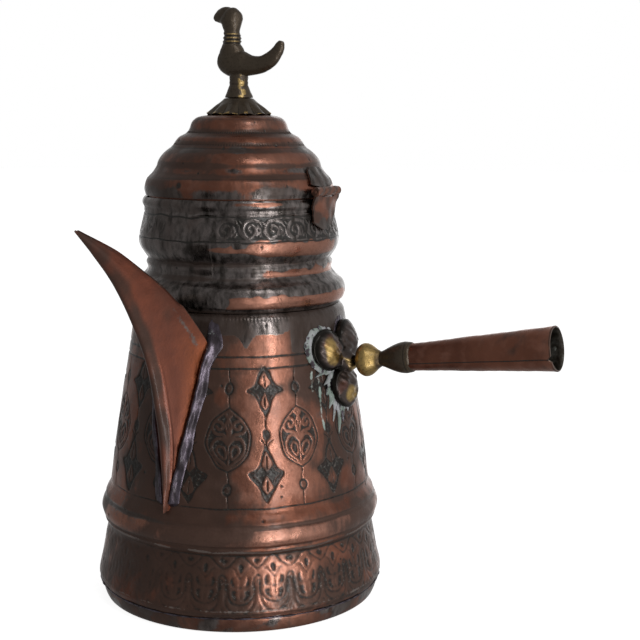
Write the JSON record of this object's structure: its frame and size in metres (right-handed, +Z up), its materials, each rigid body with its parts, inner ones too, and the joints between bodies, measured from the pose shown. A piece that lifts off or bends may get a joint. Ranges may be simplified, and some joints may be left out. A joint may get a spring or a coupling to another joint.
{
  "type": "coffee pot",
  "caption": "Side-handled coffee pot with a flared foot, a folded beak spout, a hollow handle and a hinged domed lid with a bird finial.",
  "frame": {"origin": "centre of the flat base that the pot stands on", "axes": "+Z up along the pot's axis; +X towards the handle and the lid's hinge; -Y towards the spout"},
  "size_m": [0.2423, 0.2043, 0.296],
  "materials": {
    "aged_copper": "hammered copper sheet, worn, with dark brown patina and traces of tinning",
    "bright_copper": "copper sheet, satin, reddish with little patina",
    "cast_brass": "cast brass, worn smooth and golden on the high places",
    "dark_brass": "cast brass under a dark olive-brown patina",
    "solder": "lead-tin solder, grey, lumpy and half shiny",
    "iron_wire": "dull iron wire"
  },
  "bodies": {
    "pot": {"body_shell": "aged_copper", "base_pan": "aged_copper", "base_solder": "solder", "neck_collar": "aged_copper", "spout_beak": "bright_copper", "spout_solder_left": "solder", "spout_solder_right": "solder", "escutcheon": "cast_brass", "escutcheon_solder": "solder", "handle_knop": "cast_brass", "handle_ferrule": "dark_brass", "handle_tube": "aged_copper", "hinge_strap": "aged_copper", "hinge_pin": "iron_wire"},
    "lid": {"lid_dome": "aged_copper", "lid_flange": "aged_copper", "lid_leaf": "aged_copper", "finial_skirt": "dark_brass", "finial_bird": "dark_brass", "finial_washer": "cast_brass"}
  },
  "joints": [
    {"name": "lid_hinge", "type": "hinge", "parent": "pot", "child": "lid", "pos_m": [0.0499, 0, 0.2064], "axis": [0, 1, 0], "range_deg": [0, 110]}
  ]
}
